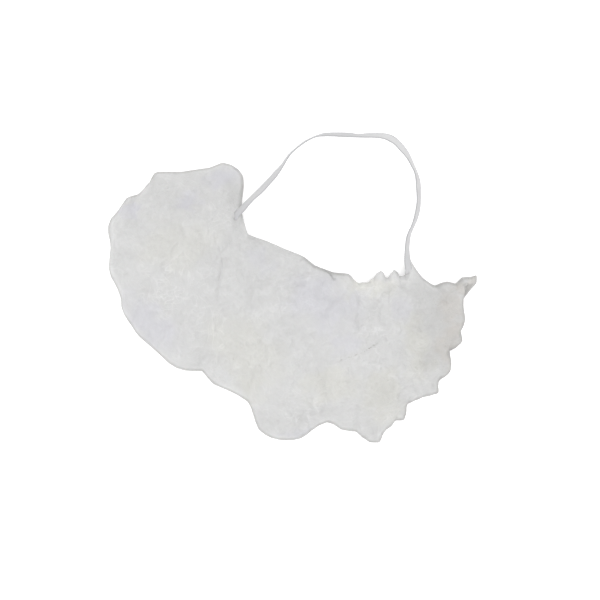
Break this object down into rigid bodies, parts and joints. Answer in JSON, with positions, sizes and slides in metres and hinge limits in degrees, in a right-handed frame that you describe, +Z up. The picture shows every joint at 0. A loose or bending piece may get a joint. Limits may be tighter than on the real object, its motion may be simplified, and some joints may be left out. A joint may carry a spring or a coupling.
{
  "type": "beard cover",
  "caption": "Disposable beard cover lying on a flat surface: a gathered nonwoven pouch open along its elastic mouth, with a flat elastic head strap looped from corner to corner of the mouth.",
  "frame": {"origin": "on the surface that the cover lies on, under the middle of the pouch's box seen from above (the strap left out)", "axes": "+Z up from the surface; +X along the pouch's long way, towards its pointed right tip; +Y towards the mouth and the strap"},
  "size_m": [0.239, 0.2018, 0.0318],
  "materials": {
    "nonwoven": "matte white spunbond polypropylene with fine fibres, crumpled",
    "elastic_thread": "matte off-white covered thread",
    "strap": "matte white covered flat elastic"
  },
  "bodies": {
    "root": {"pouch": "nonwoven", "mouth_elastic": "elastic_thread", "head_strap": "strap"}
  },
  "joints": []
}
